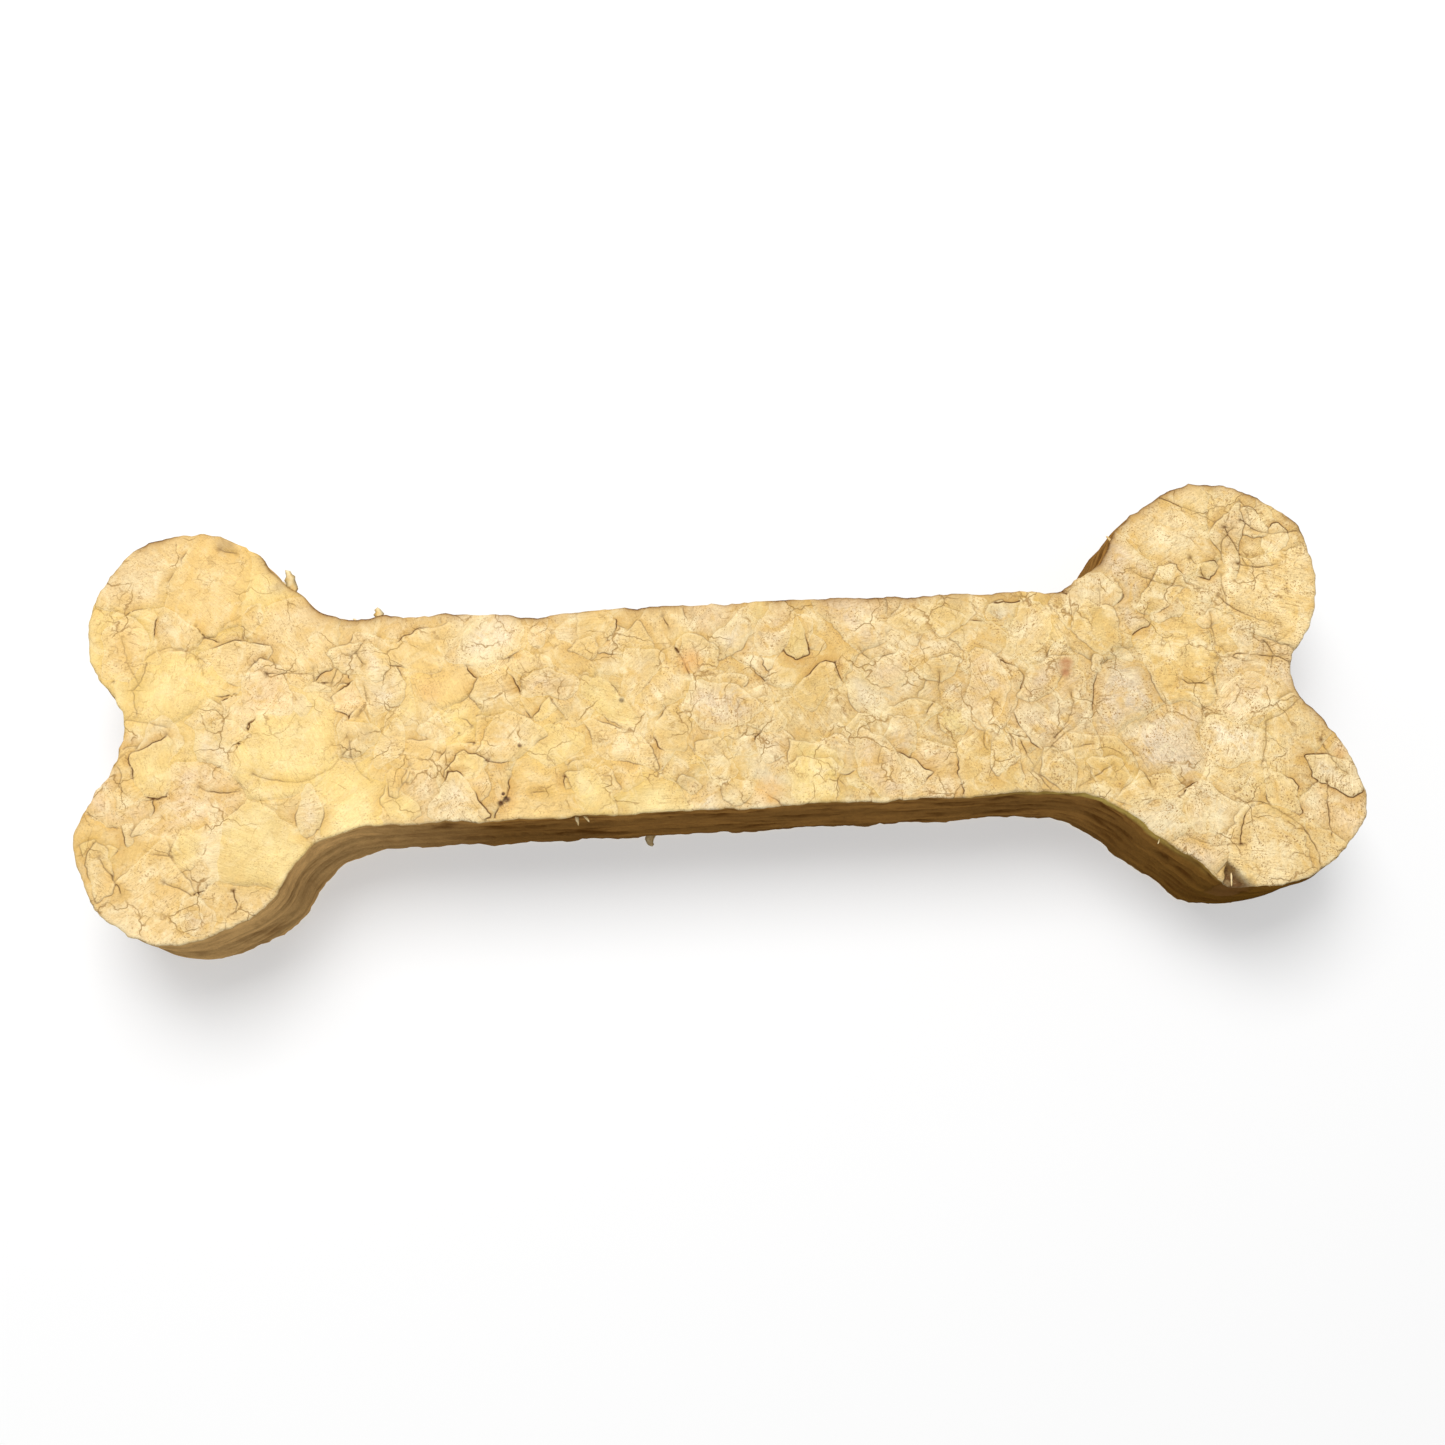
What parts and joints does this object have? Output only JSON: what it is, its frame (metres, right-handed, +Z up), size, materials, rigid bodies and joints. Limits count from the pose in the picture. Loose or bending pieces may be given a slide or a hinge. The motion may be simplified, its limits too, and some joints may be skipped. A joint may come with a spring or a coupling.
{
  "type": "dog chew",
  "caption": "Bone-shaped dog chew pressed from flakes of dried collagen hide, with two rounded lobes at each end and a straight shaft.",
  "frame": {"origin": "centre of the resting underside's box: X and Y in the middle of the outline, Z = 0 at the underside", "axes": "+X along the bone's length, +Z up through its pressed thickness, -Y towards the side seen in the foreground"},
  "size_m": [0.2118, 0.0722, 0.0219],
  "materials": {
    "pressed_hide": "dried hide, satin to slightly glossy, uneven"
  },
  "bodies": {
    "root": {"chew": "pressed_hide"}
  },
  "joints": []
}
